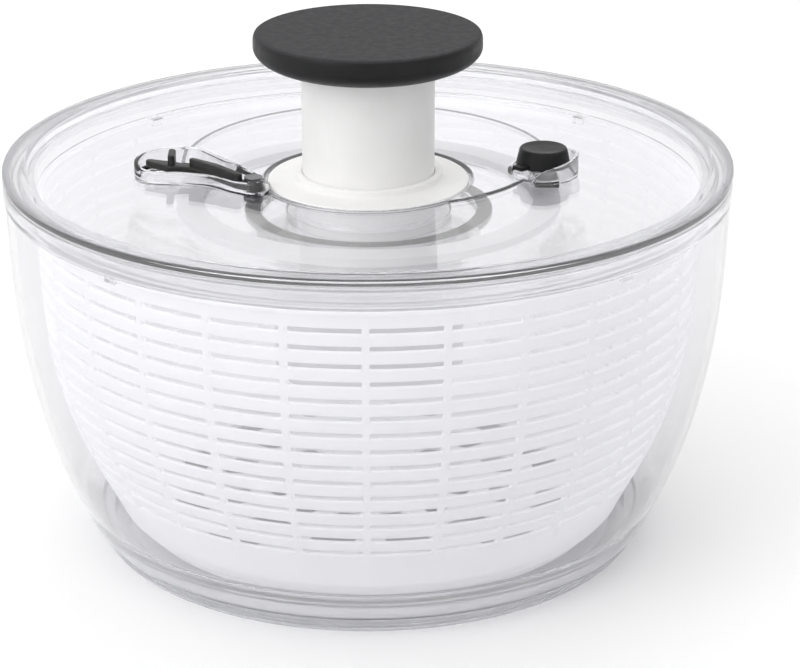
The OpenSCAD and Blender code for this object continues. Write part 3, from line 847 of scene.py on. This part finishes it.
DISC_R = high("spin_disc")[0]
disc_under = [
    (26.4, 116), (30.5, 116, 0.4), (30.5, HOUSING_TOP_Z, 0.4), (56, HOUSING_TOP_Z, 1.5), (60, 120.8, 1.5),
    (72, 120.8, 2), (80, 121.6, 3), (112, 126.6, 4), (119, 129.05, 2), (DISC_R, 129.05, 0.4)]
disc_top = [
    (DISC_R, 131.25, 0.5), (118.6, 131.25, 2), (111.4, 128.8, 4), (80, 123.8, 3), (72, 123, 2),
    (60, 123, 1.5), (55.6, 122, 1.5), (26.4, 122, 0.3)]
disc_piece = solid("spin_disc_clear", lathe_data(rounded(disc_under + disc_top, 5)))
lugs = join_data([block_data((*polar(BASKET_R - 1, a), LUG_Z), (2, 2.6, 2), a) for a in LUG_DEGS])
combine(disc_piece, [("UNION", solid("add_lugs", lugs))])
place(disc_piece, "rotor", "clear_plastic", clear_disc, "spin_disc")


# ---- springs ----

def coil_data(centre, mid_r, wire_r, z0, z1, turns):
    """A round wire wound from z0 to z1, with its end turns lying closer together."""
    def eased(t):
        return mix(t, step(-0.15, 1.15, t), 0.5)

    rings = []
    for t in span(0, 1, turns * 28):
        z = mix(z0 + wire_r, z1 - wire_r, (eased(t) - eased(0)) / (eased(1) - eased(0)))
        wire = (polar(wire_r, 36 * i) for i in range(10))
        rings.append([(*polar(mid_r + out, 360 * turns * t, centre), z + up) for out, up in wire])
    return loft_data(rings)


def spring(name, node_name, body, wire_r, turns, centre):
    """A coil in its CAD node's box. It rides the pressed body."""
    z0, z1 = low(node_name)[2] + 0.05, high(node_name)[2] - 0.05
    out_r = (high(node_name)[0] - low(node_name)[0]) / 2
    coil = solid(name, coil_data(centre, out_r - wire_r, wire_r, z0, z1, turns))
    place(coil, body, "steel", steel, node_name)
    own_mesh(coil)


spring("return_spring_coil", "return_spring", "plunger", 0.8, 8, (0, 0))
spring("brake_spring_coil", "brake_spring", "brake", 0.35, 4, CUP)


# ---- CAD nodes that keep their shape ----

for names, material in (
        (("guide_sleeve", "rotor_retainer"), milky_sleeve),
        (("clutch_ring", "spring_seat", "clutch_ratchet", "drive_nut"), grey),
        (("plunger_tube", "knob_core", "brake_stem", "drive_screw"), white),
        (("brake_ring",), track_white), (("thrust_washer", "retaining_clip"), steel),
        (("lock_pawl",), dark_steel), (("brake_pad",), lever_grey)):
    for node_name in names:
        node = frame["nodes"][node_name]
        node.data.materials.clear()
        node.data.materials.append(material)


# ---- studio ----

# The world brightens from 0.62 to 1.03 as a direction's dot product with LIT_SIDE goes from -0.75 to 0.3.
LIT_SIDE = (-0.7, 0.3, 0.65)
WORLD_RANGE = (-0.75, 0.3, 0.62, 1.03)
FLOOR_CORNERS = ((-6, -4), (6, -4), (6, 12), (-6, 12))
FLOOR_Z = -0.0003

floor_mesh = bpy.data.meshes.new("studio_floor")
floor_mesh.from_pydata([(x, y, FLOOR_Z) for x, y in FLOOR_CORNERS], [], [(0, 1, 2, 3)])
floor = bpy.data.objects.new("studio_floor", floor_mesh)
scene.collection.objects.link(floor)
floor_mesh.materials.append(floor_material())

world = bpy.data.worlds.new("studio")
scene.world = world
world.use_nodes = True
wn, wl = world.node_tree.nodes, world.node_tree.links
where = wn.new("ShaderNodeTexCoord")
toward = wn.new("ShaderNodeVectorMath")
toward.operation = "DOT_PRODUCT"
toward.inputs[1].default_value = LIT_SIDE
wl.new(where.outputs["Generated"], toward.inputs[0])
level = wn.new("ShaderNodeMapRange")
wl.new(toward.outputs["Value"], level.inputs["Value"])
for key, value in zip(("From Min", "From Max", "To Min", "To Max"), WORLD_RANGE):
    level.inputs[key].default_value = value
wl.new(level.outputs[0], wn["Background"].inputs["Color"])


def lamp(name, place_at, aim, size, power):
    """A square lamp turned toward a point."""
    data = bpy.data.lights.new(name, "AREA")
    data.shape, data.size, data.size_y, data.energy = "RECTANGLE", size, size, power
    obj = bpy.data.objects.new(name, data)
    obj.location = place_at
    obj.rotation_euler = (Vector(aim) - Vector(place_at)).to_track_quat("-Z", "Y").to_euler()
    scene.collection.objects.link(obj)


lamp("key_left", (-1.1, -0.9, 1.2), (0, 0, 0.08), 1.0, 8)
lamp("top_back", (0.1, 0.8, 1.6), (0, 0, 0.1), 1.2, 3)

camera_data = bpy.data.cameras.new("camera")
camera_data.lens, camera_data.sensor_width, camera_data.sensor_fit = 114.4, 36.0, "HORIZONTAL"
camera_data.clip_start, camera_data.clip_end = 0.01, 60
camera = bpy.data.objects.new("camera", camera_data)
camera.location = (0, -0.8939, 0.4253)
camera.rotation_euler = (math.pi / 2 - 0.376, 0, -0.013)
scene.collection.objects.link(camera)
scene.camera = camera

scene.view_settings.view_transform = "Standard"
scene.view_settings.look = "None"
